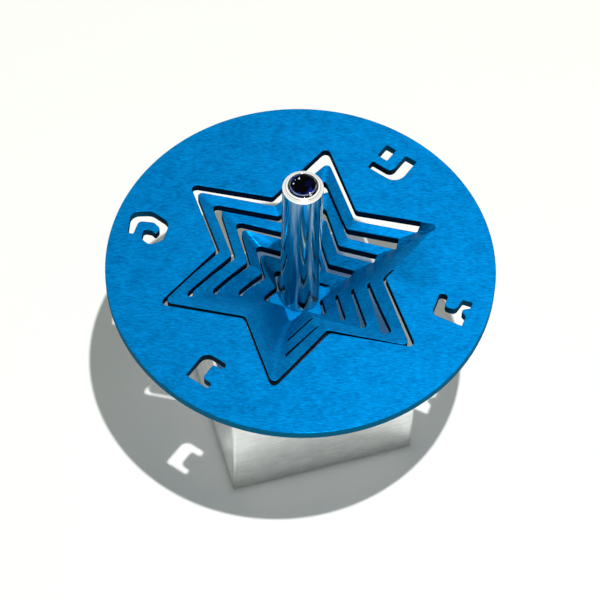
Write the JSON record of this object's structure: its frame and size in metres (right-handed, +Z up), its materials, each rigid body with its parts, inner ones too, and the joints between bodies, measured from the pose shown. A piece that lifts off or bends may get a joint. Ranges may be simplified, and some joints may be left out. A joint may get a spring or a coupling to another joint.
{
  "type": "dreidel",
  "caption": "Metal dreidel: round disc with star frames pressed down to its middle and pierced letters, a turned finger stem with a crystal in its end, and a square block stand.",
  "frame": {"origin": "middle of the block's underside, on the spindle's axis", "axes": "+Z up along the spindle's axis, +X and +Y square to the block's sides"},
  "size_m": [0.06, 0.06, 0.0595],
  "materials": {
    "anodised": "blue anodised, fine brushed",
    "polished": "mirror polished",
    "crystal": "clear, faceted, dark blue",
    "turned": "satin turned",
    "brushed": "brushed"
  },
  "bodies": {
    "stand": {"block": "brushed"},
    "spindle": {"spindle": "turned"},
    "top": {"disc": "anodised", "stem": "polished", "crystal": "crystal"}
  },
  "joints": [
    {"name": "lift", "type": "slide", "parent": "stand", "child": "spindle", "axis": [0, 0, 1], "range_m": [0, 0.03]},
    {"name": "spin", "type": "hinge", "parent": "spindle", "child": "top", "pos_m": [0, 0, 0.03], "axis": [0, 0, 1], "continuous": true}
  ]
}
